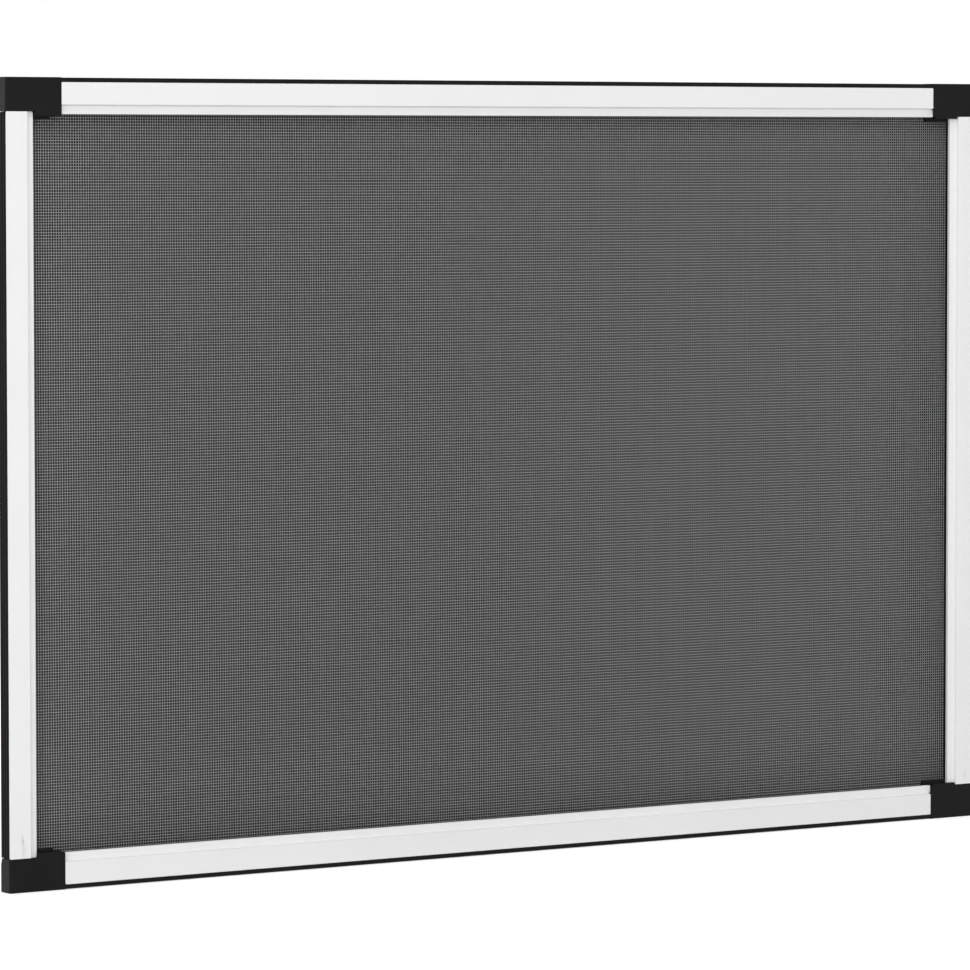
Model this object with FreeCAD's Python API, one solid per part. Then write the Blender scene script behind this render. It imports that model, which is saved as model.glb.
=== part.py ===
"""Framed insect screen for a window.

Four aluminium members meet at four moulded corner pieces, a woven cloth is held in their inner
groove by a spline, and a ribbed seal runs along every outer side. Millimetres, +X to the right,
+Z up, and the front of the screen faces -Y. The origin is the middle of the bottom edge.
"""
import FreeCAD
import Part
import math
import os
from collections import namedtuple

# Whole screen
frame_width = 750.0
frame_height = 500.0
frame_depth = 11.4

# Aluminium members: a raised front band, a steep step and a lower lip beside the cloth
rail_inset = 3.0
rail_width = 19.65
rail_band = 13.8
stile_width = 20.5
stile_band = 15.0
flange_tip = 0.35
step_run = 0.8
lip_drop = 3.0
lip_thickness = 2.4
wall = 1.1
edge_radius = 0.6
end_radius = 1.0
end_rounding = 0.35
rear_step = 1.8

# Cloth: two layers of threads that cross on one thin web
thread_pitch = 1.76
thread_width = 0.7
thread_height = 0.15
web_half = 0.15
gap_columns = 12
gap_rows = 8

# Spline that holds the cloth in the groove
spline_thickness = 2.0
spline_width = 4.2
spline_clearance = 0.2
spline_chamfer = 0.4

# Seal along the outer sides, and the slot that keeps its foot
seal_height = 2.75
seal_base = 0.8
seal_rib_width = 2.0
seal_rib_gap = 0.7
seal_rib_chamfer = 0.35
rail_seal_front = 0.4
flange_seal_gap = 0.1
stile_seal_gap = 0.3
slot_centre = 6.2
slot_lip = 0.8
slot_depth = 1.3
slot_mouth = 3.6
slot_width = 5.6
slot_clearance = 0.1

# Moulded corner pieces: the left pair is longer, and the right pair covers the end of the
# stile's lip but leaves more of the rail's lip bare
left_cap_length = 39.0
left_cap_height = 21.0
left_lip_cover = 0.0
left_block_reach = 33.6
right_cap_length = 37.2
right_cap_height = 22.3
right_lip_cover = 1.4
right_block_reach = 40.4
right_lip_reveal = 1.9
cap_shoulder = 1.0
cap_shoulder_radius = 1.4
cap_recess = 0.3
cap_side_rounding = 1.2
cap_edge_rounding = 0.5
cap_notch_depth = 1.2
cap_notch_height = 4.0
cap_cloth_clearance = 0.1
block_rise = 2.0
block_slant = 0.6
leg_length = 30.0
leg_clearance = 0.15
leg_barbs = 5
barb_depth = 0.9
leg_tip_taper = 2.0

# Places that follow from the sizes
front_y = -frame_depth / 2
left_x = -frame_width / 2
groove_front = lip_drop + lip_thickness
cloth_thickness = 2 * (web_half + thread_height)
groove_back = groove_front + spline_thickness + cloth_thickness
cloth_middle = groove_back - cloth_thickness / 2
groove_depth = spline_width + spline_clearance
slot_back = slot_lip + slot_depth
rail_length = frame_width - left_cap_length - right_cap_length
rail_inner = rail_inset + rail_width
cloth_left = left_x + stile_width - spline_width
cloth_low = rail_inner - spline_width
cloth_width = -2 * cloth_left
cloth_height = frame_height - 2 * cloth_low

# The two sections: where the flank with the seal lies, the whole width and the front band
Section = namedtuple("Section", "side width band")
rail_section = Section(0, rail_width, rail_band)
stile_section = Section(rail_inset, stile_width, stile_band)


def corner_cut(before, corner, after, radius):
    """The two tangent points and the middle point of the arc that rounds one corner."""
    inward = (before - corner).normalize()
    outward = (after - corner).normalize()
    half_angle = inward.getAngle(outward) / 2
    reach = radius / math.tan(half_angle)
    bisector = (inward + outward).normalize()
    middle = corner + bisector * (radius / math.sin(half_angle) - radius)
    return corner + inward * reach, middle, corner + outward * reach


def outline(corners, to_space):
    """A closed face through (u, v) or (u, v, radius) corners, laid out in space by to_space."""
    points = [to_space(corner[0], corner[1]) for corner in corners]
    radii = [corner[2] if len(corner) > 2 else 0 for corner in corners]
    edges = []
    stops = []
    for index, point in enumerate(points):
        if radii[index] == 0:
            stops.append((point, None, point))
            continue
        before = points[index - 1]
        after = points[(index + 1) % len(points)]
        stops.append(corner_cut(before, point, after, radii[index]))
    for index, (start, middle, end) in enumerate(stops):
        if middle is not None:
            edges.append(Part.Arc(start, middle, end).toShape())
        following = stops[(index + 1) % len(stops)][0]
        if end.distanceToPoint(following) > 1e-6:
            edges.append(Part.LineSegment(end, following).toShape())
    return Part.Face(Part.Wire(edges))


def across_rail(u, v):
    """Section plane at the left end of the bottom rail: u up from its lower edge, v back."""
    return FreeCAD.Vector(left_x + left_cap_length, front_y + v, rail_inset + u)


def across_stile(height):
    """Section plane of a left stile that stands at this height: u in from the edge, v back."""
    def plane(u, v):
        return FreeCAD.Vector(left_x + u, front_y + v, height)
    return plane


def front_view(a, b):
    """Plane of the screen's front: a right from the left edge, b up from the bottom edge."""
    return FreeCAD.Vector(left_x + a, front_y, b)


def side_view(b, v):
    """Plane of the screen's left side: b up from the bottom edge, v back from the front."""
    return FreeCAD.Vector(left_x, front_y + v, b)


def swept(corners, plane, direction):
    """A straight prism of one outline."""
    return outline(corners, plane).extrude(direction)


def opposite_rail(shape):
    """The same piece along the top, mirrored across the middle of the screen's height."""
    return shape.mirror(FreeCAD.Vector(0, 0, frame_height / 2), FreeCAD.Vector(0, 0, 1))


def opposite_stile(shape):
    """The same piece along the right, mirrored across the middle of the screen's width."""
    return shape.mirror(FreeCAD.Vector(0, 0, 0), FreeCAD.Vector(1, 0, 0))


def member_outline(section):
    """Outer outline of a member. The flank of a stile lies behind a flange that thins outwards."""
    side, width, band = section
    slot_low = slot_centre - slot_width / 2
    slot_high = slot_centre + slot_width / 2
    mouth_low = slot_centre - slot_mouth / 2
    mouth_high = slot_centre + slot_mouth / 2
    groove_floor = width - groove_depth
    outer_radius = edge_radius if side == 0 else flange_tip / 2
    corners = [
        (0, 0, outer_radius),
        (band, 0, edge_radius),
        (band + step_run, lip_drop, edge_radius),
        (width, lip_drop, edge_radius),
        (width, groove_front),
        (groove_floor, groove_front),
        (groove_floor, groove_back),
        (width, groove_back),
        (width, frame_depth - rear_step),
        (width - groove_depth / 2, frame_depth - rear_step),
        (width - groove_depth / 2, frame_depth, edge_radius),
        (side, frame_depth),
        (side, mouth_high),
        (side + slot_lip, mouth_high),
        (side + slot_lip, slot_high),
        (side + slot_back, slot_high),
        (side + slot_back, slot_low),
        (side + slot_lip, slot_low),
        (side + slot_lip, mouth_low),
        (side, mouth_low),
    ]
    if side > 0:
        corners += [(side, wall), (0, flange_tip)]
    return corners


def chamber_sides(section):
    """Where the hollow inside a member starts and ends across its width."""
    return section.side + slot_back + wall, section.width - groove_depth - wall


def chamber_outline(section):
    """Outline of the hollow, which keeps one wall behind the step."""
    near, far = chamber_sides(section)
    slope = math.hypot(step_run, lip_drop)
    offset_u = section.band - wall * lip_drop / slope
    offset_v = wall * step_run / slope
    bend_u = offset_u + (wall - offset_v) * step_run / lip_drop
    bend_v = offset_v + (far - offset_u) * lip_drop / step_run
    return [
        (near, wall),
        (bend_u, wall),
        (far, bend_v),
        (far, frame_depth - wall),
        (near, frame_depth - wall),
    ]


def rounded_ends(member, plan, depth_plan):
    """Softens the ends of a member: its corners in front view and the front edge of each end."""
    return member.common(plan).common(depth_plan)


def bottom_rail():
    """The rail between the corner pieces; its lip and groove reach a little into the right one."""
    start = left_cap_length
    stop = start + rail_length
    lip_stop = stop + right_lip_reveal
    lip_low = rail_inset + rail_band + step_run
    along = FreeCAD.Vector(lip_stop - start, 0, 0)
    member = swept(member_outline(rail_section), across_rail, along)
    member = member.cut(swept(chamber_outline(rail_section), across_rail, along))
    plan = swept([(start, rail_inset, end_radius), (stop, rail_inset, end_radius),
                  (stop, lip_low), (lip_stop, lip_low),
                  (lip_stop, rail_inner, end_radius), (start, rail_inner, end_radius)],
                 front_view, FreeCAD.Vector(0, frame_depth, 0))

    def from_above(a, v):
        return FreeCAD.Vector(left_x + a, front_y + v, rail_inset)

    depth_plan = swept([(start, 0, end_rounding), (stop, 0, end_rounding),
                        (stop, lip_drop), (lip_stop, lip_drop, end_rounding),
                        (lip_stop, frame_depth), (start, frame_depth)],
                       from_above, FreeCAD.Vector(0, 0, rail_width))
    return rounded_ends(member, plan, depth_plan)


def left_stile(cap_height):
    """A stile between two corner pieces of this height, at the left of the screen."""
    low = cap_height
    high = frame_height - cap_height
    along = FreeCAD.Vector(0, 0, high - low)
    member = swept(member_outline(stile_section), across_stile(low), along)
    member = member.cut(swept(chamber_outline(stile_section), across_stile(low), along))
    plan = swept([(0, low, end_radius), (stile_width, low, end_radius),
                  (stile_width, high, end_radius), (0, high, end_radius)],
                 front_view, FreeCAD.Vector(0, frame_depth, 0))
    depth_plan = swept([(low, 0, end_rounding), (high, 0, end_rounding),
                        (high, frame_depth), (low, frame_depth)],
                       side_view, FreeCAD.Vector(stile_width, 0, 0))
    return rounded_ends(member, plan, depth_plan)


def seal_outline(side):
    """Section of a seal: a foot in the slot, a base on the flank and ribs that face outwards.

    On a rail it starts behind the rounded front edge. On a stile it fills the space behind the
    flange, whose slanted back it follows.
    """
    foot_low = slot_centre - slot_width / 2 + slot_clearance
    foot_high = slot_centre + slot_width / 2 - slot_clearance
    neck_low = slot_centre - slot_mouth / 2 + slot_clearance
    neck_high = slot_centre + slot_mouth / 2 - slot_clearance
    foot_top = side + slot_lip + slot_clearance
    foot_end = side + slot_back - slot_clearance
    base_face = side - seal_base
    rib_face = side - seal_height
    if side == 0:
        front = rail_seal_front
        rib_front = rail_seal_front
        first_rib = [(rib_face + seal_rib_chamfer, front), (rib_face, front + seal_rib_chamfer)]
    else:
        front = wall + flange_seal_gap
        rib_front = front - (wall - flange_tip) * seal_height / side
        first_rib = [(rib_face, rib_front)]
    corners = [
        (side, frame_depth),
        (side, neck_high),
        (foot_top, neck_high),
        (foot_top, foot_high),
        (foot_end, foot_high),
        (foot_end, foot_low),
        (foot_top, foot_low),
        (foot_top, neck_low),
        (side, neck_low),
        (side, front),
    ]
    corners += first_rib
    ribbed = frame_depth - rib_front
    rib_count = max(1, round((ribbed + seal_rib_gap) / (seal_rib_width + seal_rib_gap)))
    rib_width = (ribbed + seal_rib_gap) / rib_count - seal_rib_gap
    for rib in range(1, rib_count):
        gap_high = rib_front + rib * (rib_width + seal_rib_gap)
        gap_low = gap_high - seal_rib_gap
        corners += [
            (rib_face, gap_low - seal_rib_chamfer),
            (rib_face + seal_rib_chamfer, gap_low),
            (base_face, gap_low),
            (base_face, gap_high),
            (rib_face + seal_rib_chamfer, gap_high),
            (rib_face, gap_high + seal_rib_chamfer),
        ]
    corners.append((rib_face, frame_depth))
    return corners


def bottom_seal():
    return swept(seal_outline(0), across_rail, FreeCAD.Vector(rail_length, 0, 0))


def left_seal(cap_height):
    """The seal of a stile stops a little short of the corner pieces."""
    low = cap_height + stile_seal_gap
    return swept(seal_outline(rail_inset), across_stile(low),
                 FreeCAD.Vector(0, 0, frame_height - 2 * low))


def spline_outline(width):
    """Section of the spline: flush with the member's inner side, with a bevelled nose and tail."""
    front = groove_front
    back = groove_front + spline_thickness
    inner = width - spline_width
    return [
        (inner, front + spline_chamfer),
        (inner + spline_chamfer, front),
        (width - spline_chamfer, front),
        (width, front + spline_chamfer),
        (width, back - spline_chamfer),
        (width - spline_chamfer, back),
        (inner + spline_chamfer, back),
        (inner, back - spline_chamfer),
    ]


def bottom_spline():
    """As long as the rail's groove."""
    return swept(spline_outline(rail_width), across_rail,
                 FreeCAD.Vector(rail_length + right_lip_reveal, 0, 0))


def left_spline(cap_height):
    return swept(spline_outline(stile_width), across_stile(cap_height),
                 FreeCAD.Vector(0, 0, frame_height - 2 * cap_height))


def leg_outline(start, near, far):
    """A plug-in leg seen from the front: saw teeth on both sides and a tapered tip."""
    pitch = (leg_length - leg_tip_taper) / leg_barbs
    one_side = [(start, near + barb_depth)]
    other_side = [(start, far - barb_depth)]
    for barb in range(leg_barbs):
        step = start + barb * pitch
        one_side += [(step + pitch / 2, near), (step + pitch, near + barb_depth)]
        other_side += [(step + pitch / 2, far), (step + pitch, far - barb_depth)]
    tip = start + leg_length
    one_side.append((tip, near + barb_depth + leg_tip_taper / 2))
    other_side.append((tip, far - barb_depth - leg_tip_taper / 2))
    return one_side + other_side[::-1]


def leg(start, section, offset, upright):
    """One leg of a corner piece, which fills the chamber of the member that it holds."""
    near, far = chamber_sides(section)
    corners = leg_outline(start, near + offset + leg_clearance, far + offset - leg_clearance)
    if upright:
        corners = [(across, along) for along, across in corners]
    thickness = frame_depth - 2 * wall - 2 * leg_clearance
    body = swept(corners, front_view, FreeCAD.Vector(0, thickness, 0))
    body.translate(FreeCAD.Vector(0, wall + leg_clearance, 0))
    return body


def step_relief(section):
    """What the member's step takes from the front inner edge of a leg."""
    corners = chamber_outline(section)
    bend_u = corners[1][0] - leg_clearance
    far, bend_v = corners[2]
    return [
        (bend_u, 0),
        (far + leg_clearance, 0),
        (far + leg_clearance, bend_v + leg_clearance),
        (far - leg_clearance, bend_v + leg_clearance),
        (bend_u, wall + leg_clearance),
    ]


def cap_outline(cap_length, cap_height, lip_reveal):
    """Front view of a cap, stepped back where the rail's lip runs further than its band."""
    shoulder = rail_inner + cap_shoulder
    lip_low = rail_inset + rail_band + step_run
    corners = [(0, 0), (cap_length, 0)]
    if lip_reveal > 0:
        corners += [(cap_length, lip_low), (cap_length - lip_reveal, lip_low)]
    corners += [
        (cap_length - lip_reveal, shoulder, cap_shoulder_radius),
        (stile_width, shoulder),
        (stile_width, cap_height),
        (0, cap_height),
    ]
    return corners


def front_edges(cap, limit, axis_high):
    """Edges of the cap's front face that stay below a limit along one axis."""
    return [edge for edge in cap.Edges
            if abs(edge.BoundBox.YMax - front_y - cap_recess) < 1e-6
            and getattr(edge.BoundBox, axis_high) < limit + 1e-6]


def cap_body(cap_length, cap_height, lip_cover, lip_reveal):
    """The visible block: soft outer edges, a sloped rear edge at the stile, a tab over the lip."""
    cap = swept(cap_outline(cap_length, cap_height, lip_reveal), front_view,
                FreeCAD.Vector(0, frame_depth - cap_recess, 0))
    cap.translate(FreeCAD.Vector(0, cap_recess, 0))
    cap = cap.makeFillet(cap_side_rounding, front_edges(cap, left_x, "XMax"))
    cap = cap.makeFillet(cap_edge_rounding, front_edges(cap, 0, "ZMax"))
    cap = cap.cut(swept([
        (cap_height, frame_depth - cap_notch_depth),
        (cap_height, frame_depth),
        (cap_height - cap_notch_height, frame_depth),
    ], side_view, FreeCAD.Vector(stile_width, 0, 0)))
    if lip_cover > 0:
        tab_start = stile_band + step_run + edge_radius
        tab = Part.makeBox(stile_width - tab_start, lip_drop - cap_recess, lip_cover,
                           front_view(tab_start, cap_height))
        tab.translate(FreeCAD.Vector(0, cap_recess, 0))
        cap = cap.fuse(tab)
    return cap


def corner_piece(cap_length, cap_height, lip_cover, reach, lip_reveal=0):
    """Bottom left corner: a cap level with the members, a block beside the cloth and two legs."""
    shoulder = rail_inner + cap_shoulder
    block = swept([
        (stile_width, rail_inner),
        (reach, rail_inner),
        (reach - block_slant, shoulder + block_rise),
        (stile_width, shoulder + block_rise),
    ], front_view, FreeCAD.Vector(0, spline_thickness - cap_cloth_clearance, 0))
    block.translate(FreeCAD.Vector(0, groove_front, 0))
    cloth_space = Part.makeBox(cloth_width, cloth_thickness + 2 * cap_cloth_clearance, cloth_height)
    cloth_space.translate(FreeCAD.Vector(
        cloth_left - cap_cloth_clearance,
        front_y + groove_back - cloth_thickness - cap_cloth_clearance,
        cloth_low - cap_cloth_clearance))
    cap = cap_body(cap_length, cap_height, lip_cover, lip_reveal)
    body = cap.fuse(block).cut(cloth_space)
    rail_end = FreeCAD.Vector(cap_length - left_cap_length, 0, 0)
    rail_relief = swept(step_relief(rail_section), across_rail, FreeCAD.Vector(leg_length, 0, 0))
    rail_relief.translate(rail_end)
    stile_relief = swept(step_relief(stile_section), across_stile(cap_height),
                         FreeCAD.Vector(0, 0, leg_length))
    rail_leg = leg(cap_length, rail_section, rail_inset, False).cut(rail_relief)
    stile_leg = leg(cap_height, stile_section, 0, True).cut(stile_relief)
    return body.fuse([rail_leg, stile_leg]).removeSplitter()


def ridged_layer(length, to_space, along):
    """One layer of the cloth: a thin web with a ridge for every thread, swept along the threads."""
    count = int(length / thread_pitch)
    margin = (length - (count - 1) * thread_pitch) / 2
    corners = [(0, 0), (0, web_half)]
    for thread in range(count):
        centre = margin + thread * thread_pitch
        corners += [
            (centre - thread_width / 2, web_half),
            (centre, web_half + thread_height),
            (centre + thread_width / 2, web_half),
        ]
    corners += [(length, web_half), (length, 0)]
    points = [to_space(u, v) for u, v in corners]
    return Part.Face(Part.makePolygon(points + points[:1])).extrude(along)


def gap_centres(length, wanted):
    """Evenly spread places between neighbouring threads."""
    count = int(length / thread_pitch)
    margin = (length - (count - 1) * thread_pitch) / 2
    places = []
    for index in range(wanted):
        thread = round((index + 0.5) * (count - 1) / wanted - 0.5)
        places.append(margin + (thread + 0.5) * thread_pitch)
    return places


def screen_cloth():
    middle_y = front_y + cloth_middle

    def level_threads(u, v):
        return FreeCAD.Vector(cloth_left, middle_y - v, cloth_low + u)

    def upright_threads(u, v):
        return FreeCAD.Vector(cloth_left + u, middle_y + v, cloth_low)

    front_layer = ridged_layer(cloth_height, level_threads, FreeCAD.Vector(cloth_width, 0, 0))
    back_layer = ridged_layer(cloth_width, upright_threads, FreeCAD.Vector(0, 0, cloth_height))
    cloth = front_layer.fuse(back_layer)
    gap = thread_pitch - thread_width
    gaps = []
    for across in gap_centres(cloth_width, gap_columns):
        for up in gap_centres(cloth_height, gap_rows):
            corner = FreeCAD.Vector(cloth_left + across - gap / 2, middle_y - cloth_thickness,
                                    cloth_low + up - gap / 2)
            gaps.append(Part.makeBox(gap, 2 * cloth_thickness, gap, corner))
    return cloth.cut(Part.makeCompound(gaps))


def main():
    left_corner = corner_piece(left_cap_length, left_cap_height, left_lip_cover, left_block_reach)
    right_corner = opposite_stile(corner_piece(right_cap_length, right_cap_height, right_lip_cover,
                                               right_block_reach, right_lip_reveal))
    pieces = {
        "bottom_rail": bottom_rail(),
        "seal_bottom": bottom_seal(),
        "spline_bottom": bottom_spline(),
        "left_stile": left_stile(left_cap_height),
        "seal_left": left_seal(left_cap_height),
        "spline_left": left_spline(left_cap_height),
        "right_stile": opposite_stile(left_stile(right_cap_height)),
        "seal_right": opposite_stile(left_seal(right_cap_height)),
        "spline_right": opposite_stile(left_spline(right_cap_height)),
        "corner_bottom_left": left_corner,
        "corner_bottom_right": right_corner,
        "screen_cloth": screen_cloth(),
    }
    pieces["top_rail"] = opposite_rail(pieces["bottom_rail"])
    pieces["seal_top"] = opposite_rail(pieces["seal_bottom"])
    pieces["spline_top"] = opposite_rail(pieces["spline_bottom"])
    pieces["corner_top_left"] = opposite_rail(left_corner)
    pieces["corner_top_right"] = opposite_rail(right_corner)
    os.makedirs("parts", exist_ok=True)
    for name, shape in pieces.items():
        shape.Solids[0].exportStep("parts/" + name + ".step")
        print(name, "solids", len(shape.Solids), "volume", round(shape.Volume, 1))


main()
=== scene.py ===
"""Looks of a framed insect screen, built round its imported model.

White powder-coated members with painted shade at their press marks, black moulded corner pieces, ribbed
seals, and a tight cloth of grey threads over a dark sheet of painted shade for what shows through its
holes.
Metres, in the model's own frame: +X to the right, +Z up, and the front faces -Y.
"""
import bpy
import math
import random
from mathutils import Matrix, Vector


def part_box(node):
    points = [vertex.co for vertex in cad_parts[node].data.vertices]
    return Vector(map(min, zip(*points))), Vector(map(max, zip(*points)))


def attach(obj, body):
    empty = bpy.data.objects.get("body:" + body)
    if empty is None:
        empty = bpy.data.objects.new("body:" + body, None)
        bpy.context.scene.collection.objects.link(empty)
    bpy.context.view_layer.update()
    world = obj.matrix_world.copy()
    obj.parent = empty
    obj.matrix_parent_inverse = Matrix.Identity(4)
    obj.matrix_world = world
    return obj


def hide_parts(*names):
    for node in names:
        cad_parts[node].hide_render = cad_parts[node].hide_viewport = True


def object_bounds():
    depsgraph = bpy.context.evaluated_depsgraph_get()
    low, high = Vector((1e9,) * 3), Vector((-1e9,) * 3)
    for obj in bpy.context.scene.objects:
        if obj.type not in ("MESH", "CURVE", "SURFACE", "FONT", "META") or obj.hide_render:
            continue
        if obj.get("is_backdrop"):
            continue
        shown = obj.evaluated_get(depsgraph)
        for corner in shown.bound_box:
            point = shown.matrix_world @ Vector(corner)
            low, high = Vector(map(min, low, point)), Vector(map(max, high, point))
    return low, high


# Camera of the reference view
CAMERA_PLACE = (-2.05071, -3.07526, 0.45388)
CAMERA_YAW = math.radians(33.409)
CAMERA_PITCH = math.radians(3.3306)
CAMERA_ROLL = math.radians(-0.0374)
CAMERA_LENS = 212.17
SENSOR_WIDTH = 36.0

# Light: each lamp's direction from the middle of the screen, and its power in watts
SKY_STRENGTH = 0.51
LAMPS = {
    "front": ((-0.1, -0.97, 0.2), 58.0),
    "side": ((-0.8, -0.55, 0.2), 65.0),
    "top": ((-0.3, -0.45, 0.84), 48.0),
    "rear_left": ((-0.6, 0.76, 0.25), 38.0),
    "rear_right": ((0.5, 0.82, 0.28), 70.0),
}
LAMP_DISTANCE = 4.8
LAMP_SIZE = 2.3

# Floor: a little below the screen, with a glow that is seen but lights nothing
FLOOR_SIZE = 40.0
FLOOR_DROP = 0.0002
FLOOR_TONE = 0.8
FLOOR_GLOW = 0.48

# Tones of the finishes in linear grey: darkest and lightest, or the middle and how far it varies
WHITE_TONES = (0.76, 0.78)
PLASTIC_TONES = (0.003, 0.005)
# Painted shade: tones of the dark sheet that stands in for the dark seen through the holes of the cloth
GAP_SHADE_TONES = (0.004, 0.008)
SEAL_TONE = 0.006
SPLINE_TONE = 0.005
RUBBER_VARIES = 0.4
RUBBER_STREAK_STRETCH = 0.02
LEVEL_TONE = 0.231
# Both layers are the same fibre: the upright tone is painted light, lighter to make up for the shade the
# upright threads get behind the level ones
UPRIGHT_TONE = 0.246
THREAD_VARIES = 0.13
THREAD_WARMTH = -0.015

# Painted shade of the press marks (crimp dents) near the lower ends of the stiles: middle (x, z), half
# width and half height, and how much darker the painted shade makes the coat in the middle; no dent is
# modelled. They reach a little behind the front face.
PRESS_MARK_SHADES = (
    ((-0.3660, 0.0316), (0.0012, 0.0028), 0.34),
    ((-0.3664, 0.0340), (0.0011, 0.0034), 0.16),
    ((-0.3657, 0.0262), (0.0011, 0.0085), 0.15),
    ((-0.3645, 0.0258), (0.0026, 0.0080), 0.08),
    ((0.3671, 0.0279), (0.0022, 0.0065), 0.09),
)
PRESS_MARK_REACH = 0.003

# Cloth: each thread is a thin rod of several spans, whose ends wander a little from its line
THREAD_PITCH = 0.00176
LEVEL_WIDTH = 0.00047
UPRIGHT_WIDTH = 0.00052
THREAD_THICKNESS = 0.00036
THREAD_SIDES = 6
THREAD_SPANS = 12
THREAD_JITTER = 0.00002
THREAD_WANDER = 0.00004
LAYER_OFFSET = 0.000008
SHADE_SHEET_THICKNESS = 0.00006
CLOTH_INSET = 0.0001
SEED = 7

# Axes by their number in a point
X = 0
Z = 2

# Sockets of a Mix node that mixes colours, by number because their names repeat
MIX_FACTOR = 0
MIX_FIRST = 6
MIX_SECOND = 7
MIX_RESULT = 2

WHITE_NODES = ("bottom_rail", "top_rail", "left_stile", "right_stile")
CORNER_NODES = ("corner_bottom_left", "corner_bottom_right", "corner_top_left", "corner_top_right")
ENDS_OF_STRIPS = {X: ("bottom", "top"), Z: ("left", "right")}


def add_node(tree, kind, values=None, **settings):
    """One shader node with its settings and the fixed values of its inputs."""
    node = tree.nodes.new(kind)
    for name, value in settings.items():
        setattr(node, name, value)
    for name, value in (values or {}).items():
        node.inputs[name].default_value = value
    return node


def new_material(name, roughness, specular):
    """A material with its node tree and its shader."""
    material = bpy.data.materials.new(name)
    material.use_nodes = True
    tree = material.node_tree
    shader = tree.nodes["Principled BSDF"]
    shader.inputs["Roughness"].default_value = roughness
    shader.inputs["Specular IOR Level"].default_value = specular
    return material, tree, shader


def grey(tone, warmth=0.0):
    """A grey that leans to red by its warmth, or to blue where that is below zero."""
    return (tone * (1 + warmth), tone, tone * (1 - warmth), 1)


def around(tone, varies):
    """The darkest and the lightest tone around a middle one."""
    return tone * (1 - varies), tone * (1 + varies)


def object_place(tree, scale=(1, 1, 1), shift=(0, 0, 0)):
    """The surface point in the model's frame, scaled along each axis and then shifted."""
    place = add_node(tree, "ShaderNodeTexCoord")
    mapping = add_node(tree, "ShaderNodeMapping", {"Scale": scale, "Location": shift})
    tree.links.new(place.outputs["Object"], mapping.inputs["Vector"])
    return mapping.outputs["Vector"]


def noise(tree, place, scale, detail=2.0):
    """A cloudy factor around one half."""
    node = add_node(tree, "ShaderNodeTexNoise", {"Scale": scale, "Detail": detail})
    tree.links.new(place, node.inputs["Vector"])
    return node.outputs["Fac"]


def shade(tree, factor, tones, warmth=0.0, low=0.3, high=0.7):
    """A grey that runs from the first tone to the second as the factor goes from low to high."""
    ramp = add_node(tree, "ShaderNodeValToRGB")
    for stop, position, tone in zip(ramp.color_ramp.elements, (low, high), tones):
        stop.position = position
        stop.color = grey(tone, warmth)
    tree.links.new(factor, ramp.inputs["Fac"])
    return ramp.outputs["Color"]


def bump(tree, height, distance, strength):
    """A surface direction that follows fine heights of up to the distance."""
    node = add_node(tree, "ShaderNodeBump", {"Distance": distance, "Strength": strength})
    tree.links.new(height, node.inputs["Height"])
    return node.outputs["Normal"]


def spread(tree, factor, low, high):
    """The factor from 0 to 1 spread over a range of values."""
    node = add_node(tree, "ShaderNodeMapRange", {"To Min": low, "To Max": high})
    tree.links.new(factor, node.inputs["Value"])
    return node.outputs["Result"]


def press_mark_shade(tree, middle, half_size):
    """Mask of a press mark's painted shade: from 1 in the middle of the mark on the front face to 0 at its
    rim.
    """
    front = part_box("left_stile")[0].y
    centre = (middle[0], front, middle[1])
    scale = (1 / half_size[0], 1 / PRESS_MARK_REACH, 1 / half_size[1])
    shift = tuple(-place * factor for place, factor in zip(centre, scale))
    mark = add_node(tree, "ShaderNodeTexGradient", gradient_type="SPHERICAL")
    tree.links.new(object_place(tree, scale, shift), mark.inputs["Vector"])
    return mark.outputs["Fac"]


def with_painted_shade(tree, colour, mark, depth):
    """The colour with painted shade, darker by the depth where the mark is 1."""
    mix = add_node(tree, "ShaderNodeMix", data_type="RGBA", blend_type="MULTIPLY")
    mix.inputs[MIX_FACTOR].default_value = 1.0
    tree.links.new(colour, mix.inputs[MIX_FIRST])
    tree.links.new(shade(tree, mark, (1, 1 - depth), low=0, high=1), mix.inputs[MIX_SECOND])
    return mix.outputs[MIX_RESULT]


def white_coat():
    """Satin powder coat: a fine orange peel, a hardly visible cloudiness and painted shade for the creases
    of the press marks.
    """
    material, tree, shader = new_material("white_coat", roughness=0.42, specular=0.5)
    place = object_place(tree)
    colour = shade(tree, noise(tree, place, scale=14.0, detail=3.0), WHITE_TONES)
    # Painted shade of the press marks' creases, darkening the coat's colour
    for middle, half_size, depth in PRESS_MARK_SHADES:
        colour = with_painted_shade(tree, colour, press_mark_shade(tree, middle, half_size), depth)
    gloss = spread(tree, noise(tree, place, scale=240.0), low=0.36, high=0.5)
    peel = bump(tree, noise(tree, place, scale=1300.0, detail=1.0), distance=0.00001, strength=0.5)
    tree.links.new(colour, shader.inputs["Base Color"])
    tree.links.new(gloss, shader.inputs["Roughness"])
    tree.links.new(peel, shader.inputs["Normal"])
    return material


def black_plastic():
    """Moulded plastic with a fine spark-eroded grain."""
    material, tree, shader = new_material("black_plastic", roughness=0.5, specular=0.12)
    place = object_place(tree)
    colour = shade(tree, noise(tree, place, scale=60.0, detail=3.0), PLASTIC_TONES)
    gloss = spread(tree, noise(tree, place, scale=500.0), low=0.44, high=0.6)
    grain = bump(tree, noise(tree, place, scale=3200.0), distance=0.00001, strength=0.5)
    tree.links.new(colour, shader.inputs["Base Color"])
    tree.links.new(gloss, shader.inputs["Roughness"])
    tree.links.new(grain, shader.inputs["Normal"])
    return material


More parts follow.
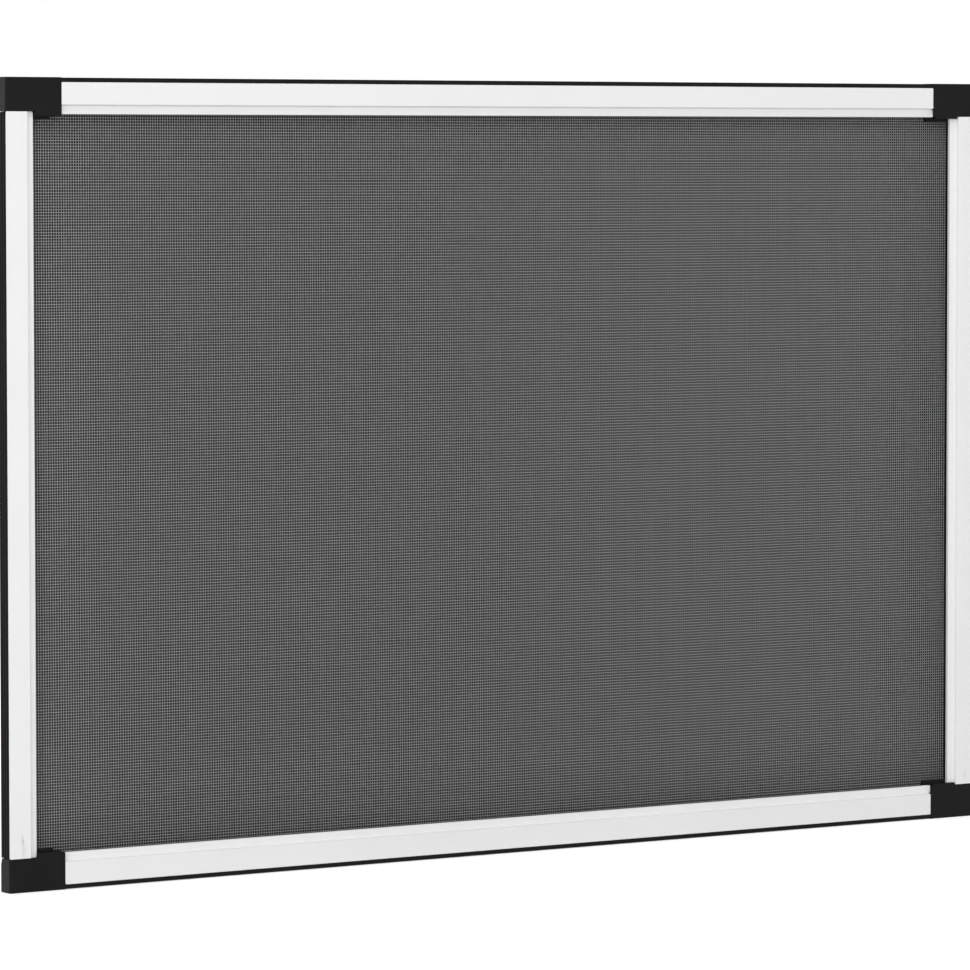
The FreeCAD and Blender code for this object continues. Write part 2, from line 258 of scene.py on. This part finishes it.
def soft_black(name, tone, along):
    """Dull rubber with faint streaks that run along the strip."""
    material, tree, shader = new_material(name, roughness=0.7, specular=0.112)
    stretch = [1.0, 1.0, 1.0]
    stretch[along] = RUBBER_STREAK_STRETCH
    streaks = noise(tree, object_place(tree, stretch), scale=1500.0)
    colour = shade(tree, streaks, around(tone, RUBBER_VARIES))
    tree.links.new(colour, shader.inputs["Base Color"])
    tree.links.new(spread(tree, streaks, low=0.6, high=0.8), shader.inputs["Roughness"])
    tree.links.new(bump(tree, streaks, distance=0.00005, strength=0.4), shader.inputs["Normal"])
    return material


def thread_coat(name, tone):
    """Coated fibre: grey, slightly uneven along each thread."""
    material, tree, shader = new_material(name, roughness=0.5, specular=0.3)
    place = object_place(tree)
    colour = shade(tree, noise(tree, place, scale=400.0), around(tone, THREAD_VARIES), THREAD_WARMTH)
    fibres = bump(tree, noise(tree, place, scale=2500.0), distance=0.00002, strength=0.3)
    tree.links.new(colour, shader.inputs["Base Color"])
    tree.links.new(fibres, shader.inputs["Normal"])
    return material


def gap_shade_black():
    """Painted shade: the dark that shows through the gaps between the threads."""
    material, tree, shader = new_material("gap_shade_black", roughness=0.9, specular=0.1)
    colour = shade(tree, noise(tree, object_place(tree), scale=90.0), GAP_SHADE_TONES)
    tree.links.new(colour, shader.inputs["Base Color"])
    return material


def dress(node, material):
    """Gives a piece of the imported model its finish."""
    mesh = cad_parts[node].data
    mesh.materials.clear()
    mesh.materials.append(material)


def dress_frame():
    """Finishes of the members, corner pieces, seals and splines."""
    white = white_coat()
    plastic = black_plastic()
    for node in WHITE_NODES:
        dress(node, white)
    for node in CORNER_NODES:
        dress(node, plastic)
    for along, ends in ENDS_OF_STRIPS.items():
        seal = soft_black("seal_along_" + "xyz"[along], SEAL_TONE, along)
        spline = soft_black("spline_along_" + "xyz"[along], SPLINE_TONE, along)
        for end in ends:
            dress("seal_" + end, seal)
            dress("spline_" + end, spline)


def add_mesh(name, points, faces, material):
    """A new piece from its points and faces."""
    mesh = bpy.data.meshes.new(name)
    mesh.from_pydata(points, [], faces)
    mesh.materials.append(material)
    mesh.update()
    piece = bpy.data.objects.new(name, mesh)
    bpy.context.scene.collection.objects.link(piece)
    return piece


def thread_faces(first, rings):
    """Side faces between the rings of one thread, and a cap at each end."""
    sides = THREAD_SIDES
    faces = []
    for ring in range(rings - 1):
        start = first + ring * sides
        for side in range(sides):
            after = (side + 1) % sides
            faces.append((start + side, start + after, start + sides + after, start + sides + side))
    last = first + (rings - 1) * sides
    faces.append(tuple(first + side for side in reversed(range(sides))))
    faces.append(tuple(last + side for side in range(sides)))
    return faces


def thread_layer(name, low, high, across, along, width, depth, material, dice):
    """Parallel threads between two corners of the cloth, side by side across one axis."""
    length = high[across] - low[across]
    count = int(length / THREAD_PITCH)
    margin = (length - (count - 1) * THREAD_PITCH) / 2
    rings = THREAD_SPANS + 1
    points = []
    faces = []
    for thread in range(count):
        line = low[across] + margin + thread * THREAD_PITCH + dice.gauss(0, THREAD_JITTER)
        faces += thread_faces(len(points), rings)
        for ring in range(rings):
            reach = low[along] + (high[along] - low[along]) * ring / THREAD_SPANS
            centre = line + dice.gauss(0, THREAD_WANDER)
            for side in range(THREAD_SIDES):
                turn = 2 * math.pi * side / THREAD_SIDES
                point = [0.0, depth + math.sin(turn) * THREAD_THICKNESS / 2, 0.0]
                point[across] = centre + math.cos(turn) * width / 2
                point[along] = reach
                points.append(point)
    piece = add_mesh(name, points, faces, material)
    piece.data.shade_smooth()
    return piece


def gap_shade_sheet(low, high, middle):
    """A thin dark sheet in the middle of the cloth: painted shade that stands in for the dark seen through
    the holes between the threads.
    """
    front = middle - SHADE_SHEET_THICKNESS / 2
    back = middle + SHADE_SHEET_THICKNESS / 2
    corners = [(x, y, z) for y in (front, back) for z in (low.z, high.z) for x in (low.x, high.x)]
    faces = [(0, 1, 3, 2), (5, 4, 6, 7), (0, 4, 5, 1), (3, 7, 6, 2), (2, 6, 4, 0), (1, 5, 7, 3)]
    return add_mesh("gap_shade_sheet", corners, faces, gap_shade_black())


def cloth():
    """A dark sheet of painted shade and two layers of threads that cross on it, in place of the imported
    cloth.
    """
    low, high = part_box("screen_cloth")
    middle = (low.y + high.y) / 2
    edge = Vector((CLOTH_INSET, 0, CLOTH_INSET))
    low = low + edge
    high = high - edge
    # The dark sheet is painted shade for the dark seen through the holes between the threads
    shade_sheet = gap_shade_sheet(low, high, middle)
    dice = random.Random(SEED)
    # The upright coat is a lighter copy of the level coat: painted light for the shade behind the level
    # threads
    upright = thread_layer("upright_threads", low, high, across=X, along=Z,
                           width=UPRIGHT_WIDTH, depth=middle + LAYER_OFFSET,
                           material=thread_coat("upright_coat", UPRIGHT_TONE), dice=dice)
    level = thread_layer("level_threads", low, high, across=Z, along=X,
                         width=LEVEL_WIDTH, depth=middle - LAYER_OFFSET,
                         material=thread_coat("level_coat", LEVEL_TONE), dice=dice)
    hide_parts("screen_cloth")
    for piece in (shade_sheet, upright, level):
        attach(piece, "root")


def when_seen(tree, seen_strength, other_strength):
    """One strength for what is seen directly or in a gloss, and another for everything else."""
    path = add_node(tree, "ShaderNodeLightPath")
    seen = path.outputs["Is Camera Ray"]
    for kind in ("Is Glossy Ray", "Is Transmission Ray"):
        either = add_node(tree, "ShaderNodeMath", operation="MAXIMUM")
        tree.links.new(seen, either.inputs[0])
        tree.links.new(path.outputs[kind], either.inputs[1])
        seen = either.outputs[0]
    return spread(tree, seen, low=other_strength, high=seen_strength)


def sky():
    """Plain soft light from all around, seen as white."""
    world = bpy.data.worlds.new("studio")
    bpy.context.scene.world = world
    world.use_nodes = True
    tree = world.node_tree
    background = tree.nodes["Background"]
    background.inputs["Color"].default_value = grey(1)
    tree.links.new(when_seen(tree, 1.0, SKY_STRENGTH), background.inputs["Strength"])


def floor_paint():
    """Plain pale paint that keeps the shadow, with a glow on top."""
    material = bpy.data.materials.new("floor_paint")
    material.use_nodes = True
    tree = material.node_tree
    tree.nodes.remove(tree.nodes["Principled BSDF"])
    paint = add_node(tree, "ShaderNodeBsdfDiffuse", {"Color": grey(FLOOR_TONE)})
    glow = add_node(tree, "ShaderNodeEmission", {"Color": grey(1)})
    both = add_node(tree, "ShaderNodeAddShader")
    tree.links.new(when_seen(tree, FLOOR_GLOW, 0.0), glow.inputs["Strength"])
    tree.links.new(paint.outputs["BSDF"], both.inputs[0])
    tree.links.new(glow.outputs["Emission"], both.inputs[1])
    tree.links.new(both.outputs["Shader"], tree.nodes["Material Output"].inputs["Surface"])
    return material


def floor():
    """A square floor around the origin."""
    half = FLOOR_SIZE / 2
    corners = [(x, y, -FLOOR_DROP) for x, y in ((-half, -half), (half, -half), (half, half), (-half, half))]
    plane = add_mesh("floor", corners, [(0, 1, 2, 3)], floor_paint())
    plane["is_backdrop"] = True


def lamps():
    """Large soft lamps in front, at the left, above and behind, all turned to the screen."""
    low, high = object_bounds()
    centre = (low + high) / 2
    for name, (direction, power) in LAMPS.items():
        towards = Vector(direction).normalized()
        data = bpy.data.lights.new(name, "AREA")
        data.shape = "SQUARE"
        data.size = LAMP_SIZE
        data.energy = power
        lamp = bpy.data.objects.new(name, data)
        lamp.location = centre + towards * LAMP_DISTANCE
        lamp.rotation_mode = "QUATERNION"
        lamp.rotation_quaternion = towards.to_track_quat("Z", "Y")
        bpy.context.scene.collection.objects.link(lamp)


def camera():
    """Looks along +Y, turned towards +X by the yaw and down by the pitch."""
    data = bpy.data.cameras.new("camera")
    data.sensor_width = SENSOR_WIDTH
    data.lens = CAMERA_LENS
    placed = bpy.data.objects.new("camera", data)
    turn = Matrix.Rotation(-CAMERA_YAW, 4, "Z") @ Matrix.Rotation(math.pi / 2 - CAMERA_PITCH, 4, "X")
    placed.matrix_world = Matrix.Translation(CAMERA_PLACE) @ turn @ Matrix.Rotation(CAMERA_ROLL, 4, "Z")
    bpy.context.scene.collection.objects.link(placed)
    bpy.context.scene.camera = placed


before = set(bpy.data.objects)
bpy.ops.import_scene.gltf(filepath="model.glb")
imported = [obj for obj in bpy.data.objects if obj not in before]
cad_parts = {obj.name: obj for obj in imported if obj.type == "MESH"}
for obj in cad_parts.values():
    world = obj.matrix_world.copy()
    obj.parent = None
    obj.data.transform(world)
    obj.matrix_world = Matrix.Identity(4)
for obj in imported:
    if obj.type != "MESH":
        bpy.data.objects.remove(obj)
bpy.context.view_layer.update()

dress_frame()
cloth()
sky()
floor()
lamps()
camera()
bpy.context.scene.view_settings.view_transform = "Standard"
